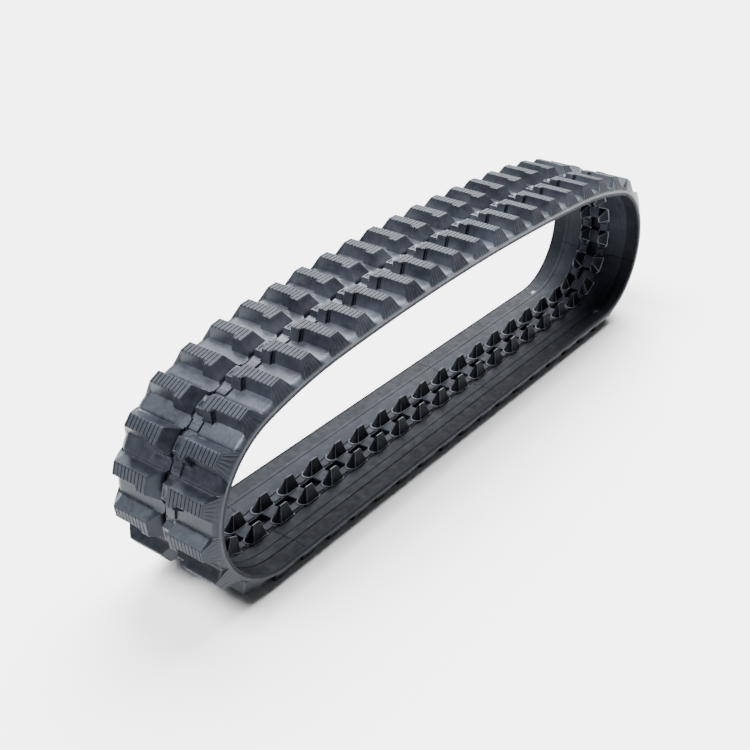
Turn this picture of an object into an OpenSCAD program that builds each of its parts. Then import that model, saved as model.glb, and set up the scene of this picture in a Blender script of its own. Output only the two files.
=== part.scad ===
// Rubber track for a compact excavator: an endless rubber belt with a mirrored pair of
// tread lug rows outside, and steel cores with rubber-covered guide horns inside.
// X runs along the track, Y across it and Z up; the lug tips rest on Z = 0.

/* [Loop] */
// Distance from one link to the next, measured along the middle of the cord plies
pitch = 72; // [71:0.5:73]
// Number of links in the closed loop
links = 46; // [46]
// Width of the belt
track_w = 230; // [220:2:260]
// Radius of the two end turns at the cord layer
turn_r = 153; // [150:1:156]
// Angle that each end turn sweeps from the ground upwards
turn_sweep = 161.4; // [160:0.2:163]
// Radius of the soft shoulder between an end turn and the crown
shoulder_r = 907; // [880:1:940]
// Heading at which the shoulder runs into the crown
crown_heading = 175.4; // [175:0.1:176]

/* [Belt layers] */
// Thickness of the roller-side rubber, from the inner surface
inner_t = 10; // [9:0.5:12]
// Whole thickness of the belt in the valleys of the tread
belt_t = 18; // [17:0.5:20]
// Thickness of the belt at its side edges
edge_t = 12; // [11.5:0.5:14]
// Thickness of the steel cord plies, which lie on the roller-side rubber
ply_t = 3; // [2:0.5:4]
// Width of each cord ply
ply_w = 74; // [60:1:78]

/* [Tread lugs] */
// Height of the lug tops above the inner surface
lug_top = 40; // [34:1:46]
// Length of a lug's top along the track
lug_len = 23; // [18:1:26]
// Distance from the centre line to a lug's inner end
lug_inner = 24; // [22:1:28]
// Width of the sloped outer flank of a lug
flank_w = 15; // [12:1:20]
// Extra length of the step at a lug's inner end
step_len = 8; // [4:1:9]
// Height of the right row's centre nose above the inner surface
nose_top = 30; // [24:1:34]

/* [Guide horns] */
// Height of a horn above the inner surface
horn_rise = 28; // [20:1:32]
// Distance from the centre line to a horn's inner foot
horn_inner = 13; // [12.5:0.5:16]
// Width of a horn's foot across the track
horn_w = 23; // [18:1:26]
// Width of the groove beside each row of horns
rut_w = 2; // [1:0.5:4]
// Depth of that groove
rut_d = 1; // [0.5:0.5:2]

/* [Flexing] */
// Half of the gap between the cord plies at a flex line
cord_gap = 0.3; // [0.2:0.1:0.6]
// Half of the gap in the tread rubber at a flex line
tread_gap = 0.7; // [0.6:0.1:1]
// Half of the gap in the roller paths at a flex line
path_gap = 1.7; // [1.6:0.1:2.5]
// Slit across the roller paths where each end of the ground run starts to rise
slit_w = 0.2; // [0.1:0.1:0.5]

/* [Hidden] */
deg = 180 / PI;
half_links = links / 2;
cord_h = inner_t + ply_t / 2;   // the line that keeps its length when the belt bends
turn_len = turn_r * turn_sweep / deg;
shoulder_len = shoulder_r * (crown_heading - turn_sweep) / deg;

// Flex lines, in pitches from the middle of the ground run.
heel = 8.5;
nose = 11.5;
shoulder = 14.5;
crown_cut = half_links - 0.5;

// Heading of the resting loop at distance u, where the front turn starts at distance t.
function turn_end(t) = t + turn_len;
function shoulder_end(t) = turn_end(t) + shoulder_len;
function heading(u, t) = u < t ? 0
    : u < turn_end(t) ? (u - t) / turn_r * deg
    : u < shoulder_end(t) ? turn_sweep + (u - turn_end(t)) / shoulder_r * deg
    : crown_heading + (180 - crown_heading) * (u - shoulder_end(t))
        / (half_links * pitch - shoulder_end(t));
function sum(v, i = 0) = i < len(v) ? v[i] + sum(v, i + 1) : 0;
function mean_heading(k, t) = k > half_links ? 360 - mean_heading(links - k, t)
    : k == half_links ? 180
    : sum([for (j = [0.5:11.5]) heading((k - 0.5 + j / 12) * pitch, t)]) / 12;

// Stretches of the loop: first and last boundary in pitches, then heading at each end.
// The ground run and the crown are flat link by link, and the two turns are true arcs.
function stretches(t) = let (
    foot = mean_heading(heel - 0.5, t),
    h = [for (b = [heel, nose, shoulder]) heading(b * pitch, t)])
    concat(
        [[1 - heel, heel - 1, 0, 0], [heel - 1, heel, foot, foot],
            [heel, nose, h[0], h[1]], [nose, shoulder, h[1], h[2]]],
        [for (k = [shoulder + 0.5:links - shoulder - 0.5])
            [k - 0.5, k + 0.5, mean_heading(k, t), mean_heading(k, t)]],
        [[links - shoulder, links - nose, 360 - h[2], 360 - h[1]],
            [links - nose, links - heel, 360 - h[1], 360 - h[0]],
            [links - heel, links - heel + 1, 360 - foot, 360 - foot]]);

// The point [x, z] at distance d along a stretch that starts at [x, z].
function along(s, start, d) = let (r = bend_r(s), h = s[2] + (r == 0 ? 0 : d / r * deg))
    r == 0 ? start + d * [cos(h), sin(h)]
    : start + r * [sin(h) - sin(s[2]), cos(s[2]) - cos(h)];
function bend_r(s) = s[3] == s[2] ? 0 : (s[1] - s[0]) * pitch / (s[3] - s[2]) * deg;
function point(list, i) = i == 0 ? [(1 - heel) * pitch, lug_top - cord_h]
    : along(list[i - 1], point(list, i - 1), (list[i - 1][1] - list[i - 1][0]) * pitch);
// The crown's middle has to come out over the middle of the ground run.
function crown_x(t) = let (list = stretches(t),
    i = max([for (k = [0:len(list) - 1]) if (list[k][0] < half_links) k]))
    along(list[i], point(list, i), (half_links - list[i][0]) * pitch)[0];
function solve(lo, hi, n) = let (mid = (lo + hi) / 2)
    n == 0 ? mid : crown_x(mid) > 0 ? solve(lo, mid, n - 1) : solve(mid, hi, n - 1);
turn_start = solve((heel - 1.4) * pitch, (heel - 0.01) * pitch, 40);
path = stretches(turn_start);
points = [for (i = [0:len(path) - 1]) point(path, i)];

// Place [x, z, heading] at distance u, from the middle of the ground run.
function wrap(u) = u < (1 - heel) * pitch ? u + links * pitch
    : u > (links + 1 - heel) * pitch ? u - links * pitch : u;
function stretch_at(u) = max([for (k = [0:len(path) - 1]) if (path[k][0] * pitch <= u) k]);
function at(u) = let (w = wrap(u), i = stretch_at(w), s = path[i], r = bend_r(s),
    d = w - s[0] * pitch)
    concat(along(s, points[i], d), [s[2] + (r == 0 ? 0 : d / r * deg)]);

// Where the link parts lie within their pitch.
core_phase = 0.21 * pitch;
lug_phase = -0.12 * pitch;

// Bodies of the flexing loop: name, first boundary, last boundary, and 1 for a turn.
bodies = [
    ["bottom_run", -heel, heel, 0],
    ["front_lower_turn", heel, nose, 1],
    ["front_upper_turn", nose, shoulder, 1],
    ["top_front_run", shoulder, crown_cut, 0],
    ["top_rear_run", crown_cut, links - shoulder, 0],
    ["rear_upper_turn", links - shoulder, links - nose, 1],
    ["rear_lower_turn", links - nose, links - heel, 1],
];
kinds = ["tread_rubber", "lugs_right", "lugs_left", "roller_path_right", "roller_path_left",
    "guide_horns", "cores", "cord_plies"];

window_half = 12;      // half width of the sprocket windows
saddle_rise = 2;       // saddles stand this far above the inner surface
saddle_back = 18;      // saddle length behind and ahead of its core's middle
saddle_front = 17;
groove_half = 3;       // centre groove between the lug rows
groove_d = 4;
edge_step = 5;         // the belt's edge thins in two steps of this width
mid_t = (belt_t + edge_t) / 2;
ply_inner = 22;        // distance from the centre line to a cord ply
lug_sink = 3.5;         // on the turns, lugs are drawn this deep and trimmed to the belt
front_run = 7;          // run of a lug's steep front face, and of its back slope
back_run = 10;
step_w = 18;            // width of the step at a lug's inner end
nose_inner = 3;         // nose: inner end, back end and length along the track
nose_back = -10;
nose_len = 27;
core_bot = 3;           // steel core: plate faces, half length and half span
core_top = 9;
core_half_len = 12;
core_half_span = 92;
stub_rise = 23;         // steel stub inside a horn

// Children are drawn in (along, y, height), with height measured outwards.
module on_belt(u) {
    p = at(u);
    translate([p[0], 0, p[1]]) rotate([0, -p[2], 0]) translate([0, 0, cord_h])
        mirror([0, 0, 1]) children();
}

// The flat stretches of a body in order along the belt, and the tilt of each.
function flats(b) = b[1] < 0 ? [len(path) - 1, 0, 1]
    : [for (i = [0:len(path) - 1]) if (path[i][0] > b[1] - 0.1 && path[i][1] < b[2] + 0.1) i];
function tilt(i) = path[i][2] > 270 ? path[i][2] - 360 : path[i][2];

// Corner j of a flat body's side outline at height h, where each bend is mitred.
function corner(b, j, h, gap) = let (
    ids = flats(b),
    n = len(ids),
    before = tilt(ids[max(j - 1, 0)]),
    after = tilt(ids[min(j, n - 1)]),
    mid = (before + after) / 2,
    s = path[ids[n - 1]],
    p = j < n ? points[ids[j]] : along(s, points[ids[n - 1]], (s[1] - s[0]) * pitch),
    slide = j == 0 ? gap : j == n ? -gap : 0)
    p + slide * [cos(mid), sin(mid)]
        + (h - cord_h) / cos((after - before) / 2) * [sin(mid), -cos(mid)];

// A box of a belt's section, [height from, height to, y from, y to], run along one body
// and cut back at both ends to leave room for the flexing.
module run_along(b, box, gap = 0) {
    n = len(flats(b));
    if (b[3] == 0)
        translate([0, box[3], 0]) rotate([90, 0, 0]) linear_extrude(box[3] - box[2])
            polygon([for (j = [0:n]) corner(b, j, box[1], gap),
                for (j = [n:-1:0]) corner(b, j, box[0], gap)]);
    else {
        i = stretch_at((b[1] + 0.001) * pitch);
        r = bend_r(path[i]);
        cut = gap / r * deg;
        translate([points[i][0] - r * sin(path[i][2]), 0, points[i][1] + r * cos(path[i][2])])
            rotate([-90, 0, 0]) rotate([0, 0, 90 - path[i][3] + cut])
                rotate_extrude(angle = path[i][3] - path[i][2] - 2 * cut, $fn = 180)
                    translate([r - cord_h + box[0], box[2]])
                        square([box[1] - box[0], box[3] - box[2]]);
    }
}

module layer(b, boxes, gap = 0) {
    for (box = boxes) run_along(b, box, gap);
}

// The same boxes on both sides of the centre line.
function both(boxes) = [for (box = boxes, side = [-1, 1])
    [box[0], box[1], min(side * box[2], side * box[3]), max(side * box[2], side * box[3])]];

// Children placed once for each link of a body.
module each_link(b, phase) {
    first = floor(b[1] - phase / pitch) + 1;
    last = ceil(b[2] - phase / pitch) - 1;
    for (k = [first:last]) on_belt(k * pitch + phase) children();
}

// A block whose side outline is in (along, height) and end outline in (y, height).
module block(side_pts, end_pts) {
    intersection() {
        translate([0, track_w, 0]) rotate([90, 0, 0]) linear_extrude(2 * track_w)
            polygon(side_pts);
        translate([-pitch, 0, 0]) rotate([90, 0, 90]) linear_extrude(2 * pitch)
            polygon(end_pts);
    }
}

function flip(pts, side) = [for (p = pts) [side * p[0], p[1]]];

module steel_core() {
    wide = core_half_len + 3;
    translate([0, 0, core_bot]) linear_extrude(core_top - core_bot)
        polygon([[-wide, -24], [-core_half_len, -core_half_span],
            [core_half_len, -core_half_span], [wide, -24], [wide, 24],
            [core_half_len, core_half_span], [-core_half_len, core_half_span], [-wide, 24]]);
    for (side = [-1, 1])
        block([[-12, core_bot + 1], [13, core_bot + 1], [8, -stub_rise], [-3, -stub_rise]],
            flip([[17, core_bot + 1], [32, core_bot + 1], [27, -stub_rise],
                [21, -stub_rise]], side));
}

module cores(b) {
    color([0.45, 0.46, 0.47]) each_link(b, core_phase) steel_core();
}

module cord_plies(b) {
    color([0.62, 0.60, 0.52])
        layer(b, both([[inner_t, inner_t + ply_t, ply_inner, ply_inner + ply_w]]), cord_gap);
}

// The tread-side rubber has a centre groove and room for the plies, and steps down to
// its thin edges.
module tread_rubber(b) {
    y = track_w / 2;
    ply_outer = ply_inner + ply_w;
    color([0.10, 0.11, 0.13]) layer(b, concat(
        [[inner_t, belt_t - groove_d, -groove_half, groove_half]],
        both([
            [inner_t, belt_t, groove_half, ply_inner],
            [inner_t + ply_t, belt_t, ply_inner, ply_outer],
            [inner_t, belt_t, ply_outer, y - 2 * edge_step],
            [inner_t, mid_t, y - 2 * edge_step, y - edge_step],
            [inner_t, edge_t, y - edge_step, y]])), tread_gap);
}

// A shallow groove parts the rollers' strip from the horns. A fine slit lets each end link
// of the ground run tilt as a piece of its own.
module roller_path(b, side) {
    rut = horn_inner + horn_w + 0.6;
    color([0.13, 0.14, 0.16]) difference() {
        run_along(b, [0, inner_t, side > 0 ? window_half : -track_w / 2,
            side > 0 ? track_w / 2 : -window_half], path_gap);
        run_along(b, [-1, rut_d, side > 0 ? rut : -rut - rut_w, side > 0 ? rut + rut_w : -rut]);
        each_link(b, core_phase) steel_core();
        if (b[1] < 0) for (k = [1 - heel, heel - 1])
            on_belt(k * pitch) translate([-slit_w / 2, -track_w, -1])
                cube([slit_w, 2 * track_w, inner_t + 2]);
    }
}

// A full section of a turn's belt, used to trim what is bonded to its faces.
module turn_band(b) {
    y = track_w / 2;
    layer(b, [
        [0, belt_t, 2 * edge_step - y, y - 2 * edge_step],
        [1, mid_t, edge_step - y, y - edge_step],
        [2, edge_t, -y - 1, y + 1]]);
}

// A lug: its bar and the longer step at its inner end. It stands on the belt and on the
// steps of its edge, and on a turn it starts below the surface.
module lug_shape(side, sink) {
    base = belt_t - sink;
    y = track_w / 2;
    half = lug_len / 2;
    grow = 1 + sink / (lug_top - belt_t);
    back = -half - back_run * grow;
    front = half + front_run * grow;
    low = edge_t - sink;
    steps = sink > 0 ? [] : [[y - edge_step, edge_t], [y - edge_step, mid_t],
        [y - 2 * edge_step, mid_t], [y - 2 * edge_step, belt_t]];
    block([[back, low], [back, base], [-half, lug_top], [half, lug_top], [front, base],
        [front, low]],
        flip(concat([[lug_inner - 4, base], [lug_inner, lug_top], [y - flank_w, lug_top],
            [y - 1, edge_t + 1], [y - 1, low]], steps), side));
    block([[back, base], [-half, lug_top], [half + step_len, lug_top],
        [front + step_len, base]],
        flip([[lug_inner - 4, base], [lug_inner, lug_top], [lug_inner + step_w, lug_top],
            [lug_inner + step_w, base]], side));
}

// The right row's lugs have a lower nose that reaches in to the centre groove.
module nose_shape(sink) {
    base = belt_t - sink;
    grow = 4 + sink / 3;
    inner = lug_inner + 1;
    block([[nose_back - grow, base], [nose_back, nose_top], [nose_back + nose_len, nose_top],
        [nose_back + nose_len + grow, base]],
        [[-inner, base], [-inner, nose_top], [-nose_inner - 4, nose_top],
            [-nose_inner, base]]);
}

module lug_row(b, side, sink) {
    each_link(b, lug_phase) {
        lug_shape(side, sink);
        if (side < 0) nose_shape(sink);
    }
}

module lugs(b, side) {
    color([0.11, 0.12, 0.14])
        if (b[3] == 0) lug_row(b, side, 0);
        else difference() {
            lug_row(b, side, lug_sink);
            turn_band(b);
        }
}

// The rubber over a steel stub: sloped faces, and a long toe towards the rear.
module horn_shape(side, sink) {
    outer = horn_inner + horn_w;
    grow = sink / horn_rise;
    block([[-24 - 18 * grow, sink], [-6, -horn_rise], [12, -horn_rise], [18 + 6 * grow, sink]],
        flip([[horn_inner - 6 * grow, sink], [horn_inner + 6, -horn_rise],
            [outer - 7, -horn_rise], [outer + 7 * grow, sink]], side));
}

module horn_row(b, sink) {
    each_link(b, core_phase) {
        horn_shape(-1, sink);
        horn_shape(1, sink);
    }
}

// The saddle joins the two horns across the belt, between two sprocket windows.
module saddle_box(top, bottom, half_w) {
    translate([-saddle_back, -half_w, -top])
        cube([saddle_back + saddle_front, 2 * half_w, top + bottom]);
}

module guide_horns(b) {
    color([0.12, 0.13, 0.15]) difference() {
        if (b[3] == 0) {
            horn_row(b, 0);
            each_link(b, core_phase) saddle_box(saddle_rise, inner_t, window_half);
        } else {
            difference() {
                horn_row(b, 3);
                turn_band(b);
            }
            intersection() {
                run_along(b, [-saddle_rise, inner_t, -window_half, window_half]);
                each_link(b, core_phase) saddle_box(saddle_rise + 5, inner_t + 5, track_w);
            }
        }
        each_link(b, core_phase) steel_core();
    }
}

module draw(kind, b) {
    if (kind == "tread_rubber") tread_rubber(b);
    if (kind == "lugs_right") lugs(b, -1);
    if (kind == "lugs_left") lugs(b, 1);
    if (kind == "roller_path_right") roller_path(b, -1);
    if (kind == "roller_path_left") roller_path(b, 1);
    if (kind == "guide_horns") guide_horns(b);
    if (kind == "cores") cores(b);
    if (kind == "cord_plies") cord_plies(b);
}

for (b = bodies, k = kinds)
    draw(k, b);
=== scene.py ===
"""Looks of a rubber track: tread with lugs, inner liner with sprocket windows, and guide horns.

Belt coordinates are in millimetres: u or s runs along the belt, y across it and h outwards
from the roller surface. MM turns them into the frame's metres.
"""
import math

import bpy
import numpy as np
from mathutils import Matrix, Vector


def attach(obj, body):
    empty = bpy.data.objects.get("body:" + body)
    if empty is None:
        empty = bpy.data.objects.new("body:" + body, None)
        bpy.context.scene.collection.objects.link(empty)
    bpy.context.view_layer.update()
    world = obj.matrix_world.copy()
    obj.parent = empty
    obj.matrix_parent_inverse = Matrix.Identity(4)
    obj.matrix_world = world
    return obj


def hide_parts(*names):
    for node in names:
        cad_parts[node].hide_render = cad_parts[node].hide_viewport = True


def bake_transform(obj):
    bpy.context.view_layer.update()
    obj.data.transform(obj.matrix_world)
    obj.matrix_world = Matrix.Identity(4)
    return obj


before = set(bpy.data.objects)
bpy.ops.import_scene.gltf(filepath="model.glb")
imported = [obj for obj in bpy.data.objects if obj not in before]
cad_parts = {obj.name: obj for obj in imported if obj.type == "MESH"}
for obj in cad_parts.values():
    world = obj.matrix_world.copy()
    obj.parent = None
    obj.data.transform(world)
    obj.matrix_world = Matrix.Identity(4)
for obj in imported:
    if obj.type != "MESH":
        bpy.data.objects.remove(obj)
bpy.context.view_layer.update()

MM = 0.001

# ---------------------------------------------------------------- dimensions
PITCH = 72.0
LINKS = 46
HALF_CELL = PITCH / 2
HALF_W = 115.0
TURN_R = 153.0
TURN_SWEEP = math.radians(161.4)
SHOULDER_R = 907.0
CROWN_HEADING = math.radians(175.4)
NOSE_U, SHOULDER_U = 11.5 * PITCH, 14.5 * PITCH
CORD_H = 11.5
LUG_TOP = 40.0
BELT_T = 18.0
EDGE_T = 12.0
EDGE_TAPER = 10.0              # width of the belt's thinner edge
LUG_PHASE = -0.12 * PITCH      # lug centre within its link
CORE_SHIFT = 0.33 * PITCH      # from a lug's centre to the next core's middle

LUG_INNER = 24.0
LUG_OUTER = 100.0              # outer end of a bar's flat top
BAR_HALF = 11.5
BACK_FOOT = -21.5
FRONT_FOOT = 18.5
STEP_END = 42.0                # the inner step ends at this distance from the centre line
STEP_LEN = 8.0
FAN_BACK = 3.5                 # the flank's extra length at its base
FAN_FRONT = 6.5
LEFT_FOOT = 7.0                # where the left row's inner ends meet the groove
NOSE_TOP = 30.0
NOSE_BACK, NOSE_FRONT = -10.0, 17.0
NOSE_INNER = 3.0
NOSE_OUTER = 20.5
NOSE_FOOT = 4.0                # how far a nose's ends lean out at its base
PAD_TOP = 20.6
PAD_OUTER, PAD_INNER = 26.0, 6.0
GROOVE_FLOOR = 12.6
GROOVE_REACH = 14.0            # no column farther out than this meets the centre groove
DISH = 0.6                     # how far the belt between two bars is hollowed
DISH_OUTER = HALF_W - 8
SIPE_DEPTH = 2.2
RIB_AT, RIB_OUT = 44.2, 3.0       # a thin rib on a bar's front face
SIPES = [96.0 - 8.0 * i for i in range(9)]
FACE_SHADE = 0.06              # painted shade: a bar's front face is painted slightly darker
# painted shade in the fan grooves on a bar's outer flank
FAN_SHADE = 0.8
RIM_SHADE = 0.45
LAYER_H = 11.6                 # where the tread meets the liner
PARTING_H = 6.0                # and at the belt's edges
MOULD_LINE = 0.5               # how far the parting line stands proud

HORN_RISE = 28.0
WINDOW_HALF = 12.0
WINDOW_DEPTH = 10.0
SADDLE_BACK, SADDLE_FRONT = -18.0, 17.0
SADDLE_RISE = 2.0
SADDLE_ENDS = CORE_SHIFT + SADDLE_FRONT - PITCH, CORE_SHIFT + SADDLE_BACK  # a window's walls
STRIP_INNER, STRIP_OUTER = 82.0, 111.0     # the outer strip, sunk a little
STRIP_DEPTH = 1.2
SEAM_AT = -17.0                # where a mould seam crosses the roller paths
SEAM_DEPTH = 0.9

# ---------------------------------------------------------------- the belt's path
def half_loop(turn_start):
    """(distance, heading) where the curvature changes, from the bottom's middle to the crown."""
    turn_end = turn_start + TURN_R * TURN_SWEEP
    shoulder_end = turn_end + SHOULDER_R * (CROWN_HEADING - TURN_SWEEP)
    return [(0.0, 0.0), (turn_start, 0.0), (NOSE_U, (NOSE_U - turn_start) / TURN_R),
            (SHOULDER_U, TURN_SWEEP + (SHOULDER_U - turn_end) / SHOULDER_R),
            (shoulder_end, CROWN_HEADING), (LINKS * PITCH / 2, math.pi)]


def trace(turn_start):
    """Rows of distance, x, z, heading and curvature, and the x where the half loop ends."""
    rows, x, z = [], 0.0, LUG_TOP - CORD_H
    knots = half_loop(turn_start)
    for (u0, t0), (u1, t1) in zip(knots, knots[1:]):
        k = (t1 - t0) / (u1 - u0)
        rows.append((u0, x, z, t0, k))
        x += (math.sin(t1) - math.sin(t0)) / k if k else u1 - u0
        z += (math.cos(t0) - math.cos(t1)) / k if k else 0.0
    return np.array(rows), x


def closed_loop():
    """The turn starts where the crown's middle comes out over the ground run's middle."""
    low, high = 7.1 * PITCH, 8.49 * PITCH
    for _ in range(50):
        mid = (low + high) / 2
        low, high = (low, mid) if trace(mid)[1] > 0 else (mid, high)
    return trace(low)[0]


KNOTS = closed_loop()


def centre_line(u):
    """x, z and heading of the cord layer at distance u from the middle of the ground run."""
    loop = LINKS * PITCH
    u = (np.asarray(u, float) + loop / 2) % loop - loop / 2
    side, a = np.where(u < 0, -1.0, 1.0), np.abs(u)
    row = KNOTS[np.searchsorted(KNOTS[:, 0], a, side="right") - 1]
    d, x, z, t, k = a - row[..., 0], row[..., 1], row[..., 2], row[..., 3], row[..., 4]
    bend = np.where(k == 0, 1.0, k)
    t1 = t + d * k
    x1 = x + np.where(k == 0, d, (np.sin(t1) - np.sin(t)) / bend)
    z1 = z + np.where(k == 0, 0.0, (np.cos(t) - np.cos(t1)) / bend)
    return side * x1, z1, side * t1


def bent(u, y, h):
    """Points that follow the belt's curve, in metres."""
    x, z, t = centre_line(u)
    r = h - CORD_H
    return np.stack([x + r * np.sin(t), y + 0 * x, z - r * np.cos(t)], -1) * MM


def rigid(u, s, y, h):
    """Points of a stiff block that stands on the belt at distance u, in metres."""
    x, z, t = centre_line(u)
    r = h - CORD_H
    return np.stack([x + s * np.cos(t) + r * np.sin(t), y + 0 * s,
                     z + s * np.sin(t) - r * np.cos(t)], -1) * MM


def smooth(t):
    """A soft step from 0 to 1."""
    t = np.clip(t, 0, 1)
    return t * t * (3 - 2 * t)


# ---------------------------------------------------------------- tread profiles
BACK_STEPS = np.array([0, .10, .21, .36, .55, .76, .93, 1.0])
BACK_RISE = np.array([0, .03, .10, .26, .49, .75, .955, 0.985])
FRONT_STEPS = np.array([0, .10, .50, .86, .95, 1.0])
FRONT_DROP = np.array([.975, .89, .49, .13, .035, 0])
FANS = (.1, .3, .5, .7, .9)
TOP_STEPS = np.array([f + d for f in FANS for d in (-.035, 0, .035)])
TAIL = np.array([.04, .10, .2, .3, .4, .5, .62, .74, .87])
LEAD = np.array([.25, .5, .75, 1.0])
BACK_ROW = 6                   # rows before a bar's back face
TOP_ROW = BACK_ROW + len(BACK_STEPS)
FRONT_ROW = TOP_ROW + len(TOP_STEPS)
SIPE_ROWS = slice(TOP_ROW - 1, FRONT_ROW + 1)


def lug_profile(a, side):
    """One column of the tread at distance a from the centre line: s, h and shade."""
    base = BELT_T - max(0.0, a - (HALF_W - EDGE_TAPER)) * (BELT_T - EDGE_T) / EDGE_TAPER
    fan = max(0.0, a - LUG_OUTER) / (HALF_W - LUG_OUTER)
    step = STEP_LEN if a <= STEP_END else RIB_OUT if abs(a - RIB_AT) < 0.7 else 0.0
    back_foot = BACK_FOOT - FAN_BACK * fan
    front_foot = FRONT_FOOT + FAN_FRONT * fan + step
    top = LUG_TOP - fan * (LUG_TOP - EDGE_T)
    if a < LUG_INNER:
        top = LUG_TOP - (LUG_INNER - a) * (LUG_TOP - BELT_T) / (LUG_INNER - LEFT_FOOT)
    pad = side < 0 and PAD_INNER <= a <= PAD_OUTER
    nose = side < 0 and a <= NOSE_OUTER
    if side < 0 and a < LUG_INNER:
        top = NOSE_TOP if a > NOSE_INNER + 0.9 else NOSE_TOP - 0.8
    if a <= (NOSE_INNER if side < 0 else LEFT_FOOT):
        top = base
    rise = max(top - base, 0.0)
    share = rise / (LUG_TOP - BELT_T)
    if nose:
        back, front = NOSE_BACK, NOSE_FRONT
        back_foot, front_foot = NOSE_BACK - NOSE_FOOT, NOSE_FRONT + NOSE_FOOT
    else:
        back = back_foot + share * (BAR_HALF - 1.5 + FAN_BACK * fan)
        front = front_foot - share * (7.0 + FAN_FRONT * fan)
    if pad:
        lead_s = np.array([-36, -35.5, -31, -27, -25.9, -25.2])
        lead_h = np.array([PAD_TOP, PAD_TOP, PAD_TOP, PAD_TOP, PAD_TOP - .3, base])
        start = front_foot + 0.8
        tail_s = np.concatenate([[front_foot + .4, start], start + 1 + (34.5 - start) *
                                 np.linspace(0, 1, 8), [36]])
        tail_h = np.concatenate([[base - 2, PAD_TOP - .3], np.full(9, PAD_TOP)])
    else:
        room = back_foot + 35.5
        lead_s = np.concatenate([[-36, -35.5], -35.5 + room * LEAD * 0.95])
        dish = DISH * np.array([1, 1, 1, .8, .5, .2])
        lead_h = base - dish * (a < DISH_OUTER)
        if a > PAD_OUTER:
            lead_h[-1] -= 0.7
        tail_s = np.concatenate([front_foot + (35.5 - front_foot) * TAIL, [35.5, 36]])
        tail_h = base - DISH * np.clip(np.append(TAIL, [1, 1]) * 2, 0, 1) * (a < DISH_OUTER)
    back_s = back_foot + (back - back_foot) * BACK_STEPS
    back_h = base + rise * BACK_RISE
    top_s = back + (front - back) * TOP_STEPS
    top_h = np.full(len(TOP_STEPS), base + rise)
    top_shade = np.zeros(len(TOP_STEPS))
    if fan > 0.02:
        cut = min(1.0, fan * 5) * (share > 0.02)
        top_h[1::3] -= 1.1 * cut
        # painted shade along the fan grooves
        top_shade[1::3] = FAN_SHADE * cut
    if nose and rise > 0:
        top_h -= recess(a) * smooth((top_s - NOSE_BACK - 2) / 10) * (
            1 - smooth((top_s - NOSE_FRONT + 4) / 1.5))
    front_s = front + (front_foot - front) * FRONT_STEPS
    front_h = base + rise * FRONT_DROP
    rim = RIM_SHADE * float(smooth((a - 103) / 6))
    # painted shade: .7 darkens the crease at the foot of the bar's back slope
    lead_shade = np.array([rim] * 5 + [.7 if a > PAD_OUTER and fan == 0 else rim])
    return (np.concatenate([lead_s, back_s, top_s, front_s, tail_s]),
            np.concatenate([lead_h, back_h, top_h, front_h, tail_h]),
            np.concatenate([lead_shade, np.full(len(back_s), rim), np.maximum(top_shade, rim),
                            FACE_SHADE * share * np.array([0, 1, 1, 1, 1, 0]) + rim,
                            np.full(len(tail_s), rim)]))


def recess(a):
    """Depth of the wedge-shaped recess in the top of a nose."""
    return 1.9 * min(1.0, (19.5 - a) / 10) if 8 <= a <= 19.5 else 0.0


def bar_columns():
    """(distance from the centre line, sipe share) from the belt's edge to a bar's inner end."""
    rows = [(a, 0.0) for a in (115, 113.2, 111, 108.5, 106, 104, 102, 100.8, 99.8, 98.6)]
    for centre in SIPES:
        for offset, share in ((0.75, 0), (0.42, 1), (-0.42, 1), (-0.75, 0)):
            rows.append((centre + offset, share))
    rows += [(RIB_AT + d, 0.0) for d in (1.0, 0.6, -0.6, -1.0)]
    rows += [(STEP_END + 0.4, 0.0), (STEP_END, 0.0), (28.0, 0), (26.6, 0), (25.9, 0), (24.9, 0)]
    return sorted(rows, reverse=True)


def groove(s, y):
    """Floor height of the centre groove, which zigzags round the left row's tongues."""
    lug = smooth((s + 27) / 9) * (1 - smooth((s - 24) / 9))
    middle = -3.6 + 6.6 * lug
    half = 2.0 + 1.6 * lug
    depth = 1 - smooth((np.abs(y - middle) - half) / 1.6)
    return BELT_T + 22.0 - depth * (BELT_T + 22.0 - GROOVE_FLOOR)


def tread_grid():
    """Every column of the tread, from the right edge to the left: y, s, h and shade."""
    columns = [(-1, a, sipe) for a, sipe in bar_columns()]
    columns += [(-1, a, 0.0) for a in (24.0, 23.6, 22.2, 20.4, 18, 15.5, 13, 10.5, 8.5, 6.3, 5.7,
                                       4.6, 3.9, 3.3, 2.7, 1.6, 0.6)]
    columns += [(1, a, 0.0) for a in (0.4, 1.5, 2.6, 3.7, 4.8, 5.9, 7.0, 8.0, 10, 13, 16, 19,
                                      21.5, 23.3, 24.0)]
    columns += [(1, a, sipe) for a, sipe in reversed(bar_columns())]
    ys, ss, hs, ds = [], [], [], []
    for side, a, sipe in columns:
        s, h, shade = lug_profile(a, side)
        if sipe:
            h[SIPE_ROWS] -= SIPE_DEPTH
            # painted shade: the sipes are painted dark
            shade[SIPE_ROWS] = 1.0
        if a < GROOVE_REACH:
            floor = groove(s, side * a)
            # painted shade: the centre groove is painted darker the deeper it is
            shade = np.where(floor < h, smooth((BELT_T - floor) / 4), shade)
            h = np.minimum(h, floor)
        for rows, value in zip((ys, ss, hs, ds), (side * a, s, h, shade)):
            rows.append(value)
    return np.array(ys), np.array(ss).T, np.array(hs).T, np.array(ds).T


# ---------------------------------------------------------------- liner profiles
def liner_samples():
    """Where rows lie along a link, close together at the window's walls."""
    wall_1, wall_2 = SADDLE_ENDS
    return np.concatenate([
        [-36, -35.5, -33.6], wall_1 + np.array([-1.3, -.35, .05, .6]),
        np.linspace(wall_1 + 2.6, wall_2 - 2.6, 15),
        wall_2 + np.array([-.6, -.05, .35, 1.3, 2.6]),
        np.linspace(wall_2 + 4.6, 34.6, 12), [35.5, 36]])


LINER_S = liner_samples()
MARK_ROWS = [27, 29, 31]       # three short raised marks in each link's outer strip


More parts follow.
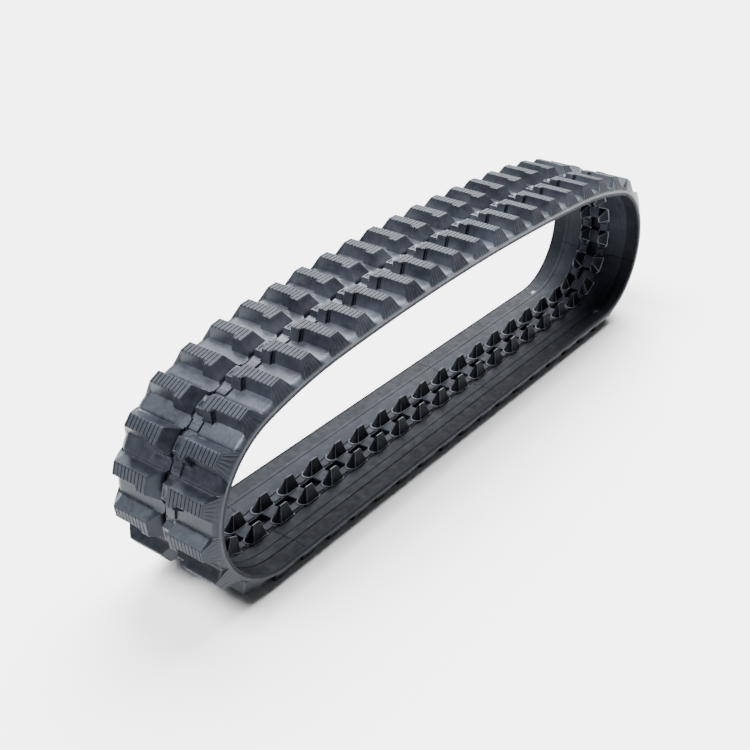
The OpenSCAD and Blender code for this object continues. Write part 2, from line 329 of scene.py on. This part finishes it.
def liner_height(s, y, side):
    """Height of the roller-side surface; negative stands proud of it."""
    a = abs(y)
    wall_1, wall_2 = SADDLE_ENDS
    in_window = (s > wall_1) & (s < wall_2)
    if a <= WINDOW_HALF - 0.2:
        edge = np.minimum(np.abs(s - wall_1), np.abs(s - wall_2))
        return np.where(in_window, WINDOW_DEPTH, -SADDLE_RISE * (0.45 + 0.55 * smooth(edge / 1.4)))
    h = np.zeros_like(s)
    if a <= WINDOW_HALF + 1.2:
        h -= np.where(in_window, 0, SADDLE_RISE * 0.8)
    pad = smooth((s + 27.5) / 2.0) * (1 - smooth((s + 8.5) / 2.0))
    h -= 2.4 * pad * float(smooth((a - 14) / 1.6) * (1 - smooth((a - 29.5) / 2.5)))
    scallop = 36.6 + 1.5 * np.cos(2 * math.pi * (s - CORE_SHIFT) / PITCH)
    h += 1.5 * (1 - smooth((np.abs(a - scallop) - 0.5) / 0.9))
    ridge = 62.0 if side < 0 else 74.0
    h -= 0.9 * max(0.0, 1 - abs(a - ridge) / 0.8)
    strip = float(smooth((a - STRIP_INNER) / 1.2) * (1 - smooth((a - STRIP_OUTER) / 1.0)))
    h += STRIP_DEPTH * strip
    marks = np.zeros_like(s)
    marks[MARK_ROWS] = 1
    h -= 0.5 * marks * strip * float(smooth((a - 87) / 0.8) * (1 - smooth((a - 106) / 0.8)))
    return h


def liner_columns(side):
    """Where columns lie across one half of the liner."""
    rows = [0, 3, 6, 9, 11, 11.7, 12.0, 12.6, 13.4, 14.2, 15.0, 16, 20, 25, 29.5, 30.8, 32]
    rows += [33.2, 34.2, 35, 35.7, 36.4, 37.1, 37.8, 38.5, 39.4, 41, 46, 52, 58]
    rows += [60.8, 61.3, 62, 62.7, 63.2, 68, 72.9, 73.3, 74, 74.7, 75.1, 79, 82, 82.6, 83.2]
    rows += [87, 87.9, 92, 97, 102, 106, 106.9, 110.9, 111.5, 112, 113.4]
    return [side * a for a in rows]


LINER_YS = np.array(liner_columns(1)[::-1] + liner_columns(-1)[1:], float)


def liner_grid():
    """Every column of the liner, from the left edge to the right: y, s, h and shade."""
    ys = LINER_YS
    hs = [liner_height(LINER_S, y, 1 if y > 0 else -1) for y in ys]
    ss = np.repeat(LINER_S[:, None], len(ys), axis=1)
    hs = np.array(hs).T
    # painted shade: sunk parts of the liner are painted darker by their depth, and the windows'
    # floors half dark
    shade = np.clip(hs / 2.0, 0, 1) * (hs < 5) + 0.5 * (hs > 5)
    return ys, ss, hs, shade


# ---------------------------------------------------------------- closed sections
def extend(grid, columns, shade=0.0):
    """Add side and hidden columns of (y, h, s) to a grid."""
    ys, ss, hs, ds = grid
    n = len(ss)
    for y, h, s in columns:
        ys = np.append(ys, y)
        ss = np.hstack([ss, s[:, None]])
        hs = np.hstack([hs, np.full((n, 1), h)])
        ds = np.hstack([ds, np.full((n, 1), shade)])
    return ys, ss, hs, ds


def close_tread():
    """The tread's top surface, its edges down to the parting line and its hidden underside."""
    grid = tread_grid()
    n = len(grid[1])
    even = np.linspace(-HALF_CELL, HALF_CELL, n)
    edge = grid[1][:, 0]
    rows = [(HALF_W, 8.6, (edge + even) / 2), (HALF_W, 6.7, .2 * edge + .8 * even),
            (HALF_W + MOULD_LINE, PARTING_H + .3, even), (HALF_W + MOULD_LINE, PARTING_H, even),
            (HALF_W - EDGE_TAPER, LAYER_H, even)]
    return extend(grid, rows + [(-y, h, s) for y, h, s in reversed(rows)], 0.5)


def close_liner():
    """The roller-side surface, its edges up to the parting line and its hidden back."""
    rows = [(HALF_W - .8, .15, LINER_S), (HALF_W, .9, LINER_S), (HALF_W, 5.3, LINER_S),
            (HALF_W + MOULD_LINE, PARTING_H - .3, LINER_S),
            (HALF_W + MOULD_LINE, PARTING_H - .05, LINER_S),
            (HALF_W - EDGE_TAPER, LAYER_H - .05, LINER_S)]
    return extend(liner_grid(), [(-y, h, s) for y, h, s in rows] + rows[::-1])


# ---------------------------------------------------------------- meshes
def mesh_object(name, verts, faces, relief, shade, sharp=38):
    """An object that keeps two numbers on each point for its material.

    Relief is the distance from the roller surface. Shade is painted shade that darkens the rubber
    up to 1 in grooves, and below 0 it is a painted highlight that lightens an edge.
    """
    mesh = bpy.data.meshes.new(name)
    mesh.from_pydata([tuple(v) for v in verts], [], faces)
    mesh.validate()
    mesh.polygons.foreach_set("use_smooth", [True] * len(mesh.polygons))
    mesh.set_sharp_from_angle(angle=math.radians(sharp))
    for label, values in (("relief", relief), ("shade", shade)):
        layer = mesh.attributes.new(label, "FLOAT", "POINT")
        layer.data.foreach_set("value", np.asarray(values, np.float32))
    obj = bpy.data.objects.new(name, mesh)
    bpy.context.scene.collection.objects.link(obj)
    normals = obj.modifiers.new("even shading", "WEIGHTED_NORMAL")
    normals.keep_sharp = True
    return obj


def cross_seam(ds, hs):
    """A thin jagged mould seam across the roller paths of one link, with painted shade in its
    groove.
    """
    ds, hs = ds.copy(), hs.copy()
    row = int(np.argmin(np.abs(LINER_S - SEAM_AT)))
    for col, y in enumerate(np.abs(LINER_YS)):
        if 38.6 < y < 113:
            at = row + (col // 4) % 2
            # painted shade in the seam's groove
            ds[at, col] = 1.0
            hs[at, col] += SEAM_DEPTH
    return ds, hs


def section_mesh(name, section, first, last, seams=()):
    """A closed length of belt over the link cells first to last."""
    ys, ss, hs, ds = section
    rows_p, rows_h, rows_d = [], [], []
    n = len(ss)
    for k in range(first, last + 1):
        u0 = k * PITCH + LUG_PHASE
        stop = n if k == last else n - 1
        cell_ds, cell_hs = cross_seam(ds, hs) if k in seams else (ds, hs)
        s, h = ss[:stop], cell_hs[:stop]
        y = np.broadcast_to(ys, s.shape)
        stiff = smooth((h - BELT_T - 1) / 8)[..., None]
        rows_p.append((1 - stiff) * bent(u0 + s, y, h) + stiff * rigid(u0, s, y, h))
        rows_h.append(h)
        rows_d.append(cell_ds[:stop])
    points = np.concatenate(rows_p)
    heights = np.concatenate(rows_h)
    rows, cols = heights.shape
    index = np.arange(rows * cols).reshape(rows, cols)
    a, b = index[:-1], index[1:]
    nxt_a, nxt_b = np.roll(a, -1, axis=1), np.roll(b, -1, axis=1)
    quads = np.stack([a, b, nxt_b, nxt_a], -1).reshape(-1, 4).tolist()
    caps = [index[0].tolist(), index[-1][::-1].tolist()]
    return mesh_object(name, points.reshape(-1, 3), quads + caps, heights.ravel(),
                       np.concatenate(rows_d).ravel())


def horn_outline(v, grow):
    """Corners and faces of a horn at share v of its height: a wedge with a curved prow."""
    front, back = 18 - 6 * v + grow, -16 + 10 * v
    inner, outer = 13 + 9.2 * v - grow, 36 - 10.2 * v + grow
    nose = 9.0 * (1 - v) + 1.2 * v + grow
    mid, half = (inner + outer) / 2, (outer - inner) / 2
    edge = min(0.9, half * 0.3)
    # The third number marks the corners that get a painted highlight.
    points = [(front - edge, inner, 0), (front, inner + edge * .3, 1),
              (front, inner + edge * 1.6, 0), (front, outer - edge * 1.6, 0),
              (front, outer - edge * .3, 1),
              (front - edge * .3, outer, 1), (front - edge * 1.6, outer, 0),
              (back + edge * 1.6, outer, 0), (back + edge * .3, outer, 1)]
    for i in range(11):
        t = math.radians(-60 + 12 * i)
        y = mid - half * math.sin(t) / math.sin(math.radians(60))
        s = back - nose * (math.cos(t) - 0.5) / 0.5
        points.append((s, y, 1 if i in (0, 10) else 0))
    return points + [(back + edge * .3, inner, 1), (back + edge * 1.6, inner, 0)]


def horn_rings():
    """From the sunk foot, over the moulded lip, up to the narrow tip: s, y, h and painted
    highlight on the edges.
    """
    lip = [(0, 1.9, 2.0, 0), (0, 1.9, -.7, 1), (0, 1.5, -1.7, 1), (0, .6, -1.9, 1),
           (.02, 0, -2.3, 0)]
    sides = [(.3, 0, None, 0), (.6, 0, None, 0), (.9, 0, None, 0), (.97, 0, None, .4)]
    tip = [(1, -.5, -HORN_RISE, .2)]
    rings = []
    for v, grow, h, lit in lip + sides + tip:
        h = -HORN_RISE * v if h is None else h
        rings.append([(s, y, h, max(edge, lit)) for s, y, edge in horn_outline(v, grow)])
    return rings


def horns_mesh(name, first, last):
    """A pair of horns on each of the links first to last."""
    rings = horn_rings()
    count = len(rings[0])
    flat = np.array([p for ring in rings for p in ring], float)
    verts, faces, relief, shade = [], [], [], []
    for k in range(first, last + 1):
        u0 = k * PITCH + LUG_PHASE + CORE_SHIFT
        for side in (-1, 1):
            base = len(verts)
            placed = rigid(np.full(len(flat), u0), flat[:, 0], side * flat[:, 1], flat[:, 2])
            verts += placed.tolist()
            relief += (-flat[:, 2]).tolist()
            # painted highlight: negative shade lightens the horns' corners, lip and tip
            shade += (-flat[:, 3]).tolist()
            for r in range(len(rings) - 1):
                for i in range(count):
                    j = (i + 1) % count
                    quad = [base + r * count + i, base + r * count + j,
                            base + (r + 1) * count + j, base + (r + 1) * count + i]
                    faces.append(quad if side < 0 else quad[::-1])
            top = [base + (len(rings) - 1) * count + i for i in range(count)]
            foot = [base + i for i in range(count)]
            faces.append(top if side < 0 else top[::-1])
            faces.append(foot[::-1] if side < 0 else foot)
    return mesh_object(name, verts, faces, relief, shade, sharp=24)


# ---------------------------------------------------------------- materials
def add(tree, kind, **sockets):
    """A node with its sockets set or linked; an underscore stands for a space in a name."""
    node = tree.nodes.new(kind)
    for key, value in sockets.items():
        socket = node.inputs[key.replace("_", " ")]
        if isinstance(value, bpy.types.NodeSocket):
            tree.links.new(value, socket)
        else:
            socket.default_value = value
    return node


def ramp(tree, fac, stops):
    """A colour ramp through (position, colour) stops."""
    node = tree.nodes.new("ShaderNodeValToRGB")
    tree.links.new(fac, node.inputs["Fac"])
    elements = node.color_ramp.elements
    for i, (pos, value) in enumerate(stops):
        element = elements[i] if i < 2 else elements.new(pos)
        element.position = pos
        element.color = value if len(value) == 4 else (*value, 1)
    return node.outputs["Color"]


def grey(v):
    return (v, v, v, 1)


def math_node(tree, operation, a, b):
    node = tree.nodes.new("ShaderNodeMath")
    node.operation = operation
    for socket, value in zip(node.inputs, (a, b)):
        if isinstance(value, bpy.types.NodeSocket):
            tree.links.new(value, socket)
        else:
            socket.default_value = value
    return node.outputs[0]


def attribute(tree, name, low, high):
    """A mesh attribute, scaled to run from 0 at low to 1 at high."""
    source = tree.nodes.new("ShaderNodeAttribute")
    source.attribute_name = name
    scale = tree.nodes.new("ShaderNodeMapRange")
    tree.links.new(source.outputs["Fac"], scale.inputs["Value"])
    scale.inputs["From Min"].default_value = low
    scale.inputs["From Max"].default_value = high
    return scale.outputs["Result"]


def rubber(name, dark, light, dust, dust_range, painted_shade_low_dust, rough, worn_rough, worn_range, edge,
           gloss):
    """Moulded rubber: mottled blue-black, with a fine skin, dust, and painted shade that darkens
    it towards the bottom of the track.

    Both ranges are of relief, from none of the dust or wear to all of it. Painted shade: the dust
    thins out to a set share near the ground, so the track is painted darker towards the bottom.
    The edge colour is a painted highlight where the shade attribute is below 0.
    """
    mat = bpy.data.materials.new(name)
    mat.use_nodes = True
    tree = mat.node_tree
    shader = tree.nodes["Principled BSDF"]
    place = tree.nodes.new("ShaderNodeTexCoord").outputs["Object"]
    broad = add(tree, "ShaderNodeTexNoise", Vector=place, Scale=16.0, Detail=5.0, Roughness=0.6)
    patch = add(tree, "ShaderNodeTexNoise", Vector=place, Scale=85.0, Detail=6.0, Roughness=0.65)
    fine = add(tree, "ShaderNodeTexNoise", Vector=place, Scale=900.0, Detail=3.0, Roughness=0.6)
    mottle = ramp(tree, patch.outputs["Fac"], [(.35, grey(0)), (.7, grey(1))])
    colour = add(tree, "ShaderNodeMixRGB", Fac=mottle, Color1=(*dark, 1), Color2=(*light, 1))
    cloud = ramp(tree, broad.outputs["Fac"], [(.38, grey(0.2)), (.66, grey(0.9))])
    dust_and_painted_shade = math_node(tree, "MULTIPLY", cloud, attribute(tree, "relief", *dust_range))
    # painted shade: less of the light dust low down, so the track is painted darker towards the
    # bottom
    height = add(tree, "ShaderNodeSeparateXYZ", Vector=place).outputs["Z"]
    painted_low_shade = add(tree, "ShaderNodeMapRange", Value=height, From_Min=0.25, From_Max=0.44,
                  To_Min=painted_shade_low_dust, To_Max=1.0)
    dust_and_painted_shade = math_node(tree, "MULTIPLY", dust_and_painted_shade, painted_low_shade.outputs["Result"])
    dust_and_painted_shade_mix = add(tree, "ShaderNodeMixRGB", Fac=dust_and_painted_shade, Color1=colour.outputs["Color"],
                Color2=(*dust, 1))
    # painted shade: the shade attribute darkens grooves, creases, seams and front faces in the
    # base colour
    depth = attribute(tree, "shade", -1.0, 1.0)
    painted_shade_factor = ramp(tree, depth, [(0.5, grey(1)), (1.0, grey(0.1))])
    shaded = add(tree, "ShaderNodeMixRGB", Fac=1.0, Color1=dust_and_painted_shade_mix.outputs["Color"],
                 Color2=painted_shade_factor)
    shaded.blend_type = "MULTIPLY"
    # painted highlight: negative shade mixes the edge colour into a thin line along edges
    lit = attribute(tree, "shade", -0.3, -1.0)
    painted_highlight_mix = add(tree, "ShaderNodeMixRGB", Fac=lit, Color1=shaded.outputs["Color"],
                Color2=(*edge, 1))
    tree.links.new(painted_highlight_mix.outputs["Color"], shader.inputs["Base Color"])
    shader.inputs["Specular IOR Level"].default_value = gloss
    shader.inputs["Specular Tint"].default_value = (0.78, 0.89, 1.0, 1)
    skin = ramp(tree, patch.outputs["Fac"], [(.3, grey(rough[0])), (.75, grey(rough[1]))])
    worn = attribute(tree, "relief", *worn_range)
    rougher = add(tree, "ShaderNodeMixRGB", Fac=worn, Color1=skin, Color2=grey(worn_rough))
    tree.links.new(rougher.outputs["Color"], shader.inputs["Roughness"])
    bump = add(tree, "ShaderNodeBump", Strength=0.12, Distance=0.0006, Height=fine.outputs["Fac"])
    wave = add(tree, "ShaderNodeBump", Strength=0.25, Distance=0.0012, Height=patch.outputs["Fac"],
               Normal=bump.outputs["Normal"])
    tree.links.new(wave.outputs["Normal"], shader.inputs["Normal"])
    return mat


def metal(name, colour, rough, grain):
    """Bare metal with a fine grain."""
    mat = bpy.data.materials.new(name)
    mat.use_nodes = True
    tree = mat.node_tree
    shader = tree.nodes["Principled BSDF"]
    place = tree.nodes.new("ShaderNodeTexCoord").outputs["Object"]
    noise = add(tree, "ShaderNodeTexNoise", Vector=place, Scale=grain, Detail=5.0)
    low = tuple(c * 0.7 for c in colour)
    tree.links.new(ramp(tree, noise.outputs["Fac"], [(.3, low), (.7, colour)]),
                   shader.inputs["Base Color"])
    tree.links.new(ramp(tree, noise.outputs["Fac"], [(.3, grey(rough)), (.7, grey(rough + .15))]),
                   shader.inputs["Roughness"])
    shader.inputs["Metallic"].default_value = 1.0
    bump = add(tree, "ShaderNodeBump", Strength=0.2, Distance=0.0004, Height=noise.outputs["Fac"])
    tree.links.new(bump.outputs["Normal"], shader.inputs["Normal"])
    return mat


# painted shade: the tread keeps only 0.02 of its dust near the ground, so its lower part is
# painted darker
TREAD = rubber("tread_rubber", dark=(0.005, 0.006, 0.009), light=(0.013, 0.015, 0.021),
               dust=(0.070, 0.078, 0.096), dust_range=(46, 17), painted_shade_low_dust=0.02,
               rough=(0.28, 0.42), worn_rough=0.56, worn_range=(36, 39.5),
               edge=(0.05, 0.055, 0.07), gloss=0.27)
LINER = rubber("liner_rubber", dark=(0.004, 0.0045, 0.0065), light=(0.011, 0.012, 0.017),
               dust=(0.028, 0.031, 0.042), dust_range=(2.5, -2.5), painted_shade_low_dust=1.0,
               rough=(0.50, 0.76), worn_rough=0.5, worn_range=(5, 6),
               edge=(0.05, 0.055, 0.07), gloss=0.13)
# The horns' edge colour is a painted highlight on their corners, lip and tip.
HORN = rubber("horn_rubber", dark=(0.002, 0.0024, 0.0035), light=(0.006, 0.007, 0.009),
              dust=(0.010, 0.011, 0.014), dust_range=(0, 40), painted_shade_low_dust=1.0,
              rough=(0.35, 0.50), worn_rough=0.5, worn_range=(30, 60),
              edge=(0.16, 0.175, 0.20), gloss=0.18)
IRON = metal("core_iron", (0.20, 0.20, 0.21), 0.55, 260.0)
STEEL = metal("cord_steel", (0.52, 0.47, 0.36), 0.35, 700.0)

# ---------------------------------------------------------------- the track's pieces
# First and last link cell of each body's rigid stretch of belt.
BODIES = {
    "bottom_run": (-7, 7),
    "front_lower_turn": (10, 10),
    "front_upper_turn": (13, 13),
    "top_front_run": (16, 22),
    "top_rear_run": (23, 30),
    "rear_upper_turn": (33, 33),
    "rear_lower_turn": (36, 36),
}
# The same for its horns, which reach over the flex lines' cells.
HORNS = {
    "bottom_run": (-8, 8),
    "front_lower_turn": (9, 11),
    "front_upper_turn": (12, 14),
    "top_front_run": (15, 22),
    "top_rear_run": (23, 31),
    "rear_upper_turn": (32, 34),
    "rear_lower_turn": (35, 37),
}
# The bodies on each side of a flex line, and the cell before it.
FLEXES = {
    "front_heel": ("bottom_run", "front_lower_turn", 8),
    "front_nose": ("front_lower_turn", "front_upper_turn", 11),
    "front_shoulder": ("front_upper_turn", "top_front_run", 14),
    "rear_shoulder": ("top_rear_run", "rear_upper_turn", 31),
    "rear_nose": ("rear_upper_turn", "rear_lower_turn", 34),
    "rear_heel": ("rear_lower_turn", "bottom_run", 37),
}
SEAM_CELLS = (-7, 2, 11, 20, 30)  # links with a mould seam across the liner


def dress(obj, material):
    """Give a piece its material."""
    obj.data.materials.append(material)


def build_track():
    """Every visible piece: on its body, or left fixed in the frame over a flex line."""
    parts = [("tread", close_tread(), TREAD, "tread_rubber",
              ("tread_rubber", "lugs_right", "lugs_left")),
             ("liner", close_liner(), LINER, "inner_rubber",
              ("roller_path_right", "roller_path_left"))]
    for label, section, material, slot, kinds in parts:
        seams = SEAM_CELLS if label == "liner" else ()
        for body, (first, last) in BODIES.items():
            piece = section_mesh(f"{label}_{body}", section, first, last, seams)
            dress(piece, material)
            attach(piece, body)
            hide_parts(*[f"{kind}_{body}" for kind in kinds])
        for flex, (body_a, body_b, cell) in FLEXES.items():
            piece = section_mesh(f"{label}_flex_{flex}", section, cell, cell + 1, seams)
            dress(piece, material)
            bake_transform(piece)
    for body, (first, last) in HORNS.items():
        piece = horns_mesh(f"horns_{body}", first, last)
        dress(piece, HORN)
        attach(piece, body)
        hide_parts(f"guide_horns_{body}")
    for name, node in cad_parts.items():
        if name.startswith(("cores_", "cord_plies_")):
            node.data.materials.clear()
            node.data.materials.append(IRON if name.startswith("cores_") else STEEL)


# ---------------------------------------------------------------- camera, light and floor
def look_at(obj, target):
    obj.rotation_mode = "QUATERNION"
    obj.rotation_quaternion = (Vector(target) - obj.location).to_track_quat("-Z", "Y")


CAMERA_LENS = 55.83
CAMERA_TARGET = Vector((-0.1805, 0.0, 0.1853))
CAMERA_AZIMUTH, CAMERA_ELEVATION, CAMERA_DISTANCE = -52.88, 30.06, 2.2538
LIGHT_DISTANCE = 3


def direction(azimuth, elevation):
    """Degrees to a unit vector. Azimuth 0 points to -Y, and 90 to +X."""
    a, e = math.radians(azimuth), math.radians(elevation)
    return Vector((math.sin(a) * math.cos(e), -math.cos(a) * math.cos(e), math.sin(e)))


def make_camera():
    data = bpy.data.cameras.new("camera")
    data.sensor_width = 36.0
    data.lens = CAMERA_LENS
    data.clip_end = 50
    camera = bpy.data.objects.new("camera", data)
    bpy.context.scene.collection.objects.link(camera)
    camera.location = CAMERA_TARGET + CAMERA_DISTANCE * direction(CAMERA_AZIMUTH,
                                                                  CAMERA_ELEVATION)
    look_at(camera, CAMERA_TARGET)
    bpy.context.scene.camera = camera


def soft_sun(name, azimuth, elevation, spread, strength):
    """A broad, even light; spread is its angle in degrees."""
    data = bpy.data.lights.new(name, "SUN")
    data.angle = math.radians(spread)
    data.energy = strength
    light = bpy.data.objects.new(name, data)
    bpy.context.scene.collection.objects.link(light)
    light.location = LIGHT_DISTANCE * direction(azimuth, elevation)
    look_at(light, (0, 0, 0))


def make_studio():
    world = bpy.data.worlds.new("studio")
    bpy.context.scene.world = world
    world.use_nodes = True
    background = world.node_tree.nodes["Background"]
    background.inputs["Color"].default_value = (0.93, 0.96, 1, 1)
    background.inputs["Strength"].default_value = 0.12
    soft_sun("back_light", 112, 50, 50, 13.0)
    soft_sun("top_light", -118, 64, 36, 10.0)
    mesh = bpy.data.meshes.new("floor")
    half = 14.0
    mesh.from_pydata([(-half, -half, 0), (half, -half, 0), (half, half, 0), (-half, half, 0)], [],
                     [(0, 1, 2, 3)])
    floor = bpy.data.objects.new("floor", mesh)
    bpy.context.scene.collection.objects.link(floor)
    mat = bpy.data.materials.new("pale_floor")
    mat.use_nodes = True
    shader = mat.node_tree.nodes["Principled BSDF"]
    shader.inputs["Base Color"].default_value = (0.9, 0.9, 0.9, 1)
    shader.inputs["Roughness"].default_value = 0.8
    floor.data.materials.append(mat)


make_camera()
make_studio()
build_track()
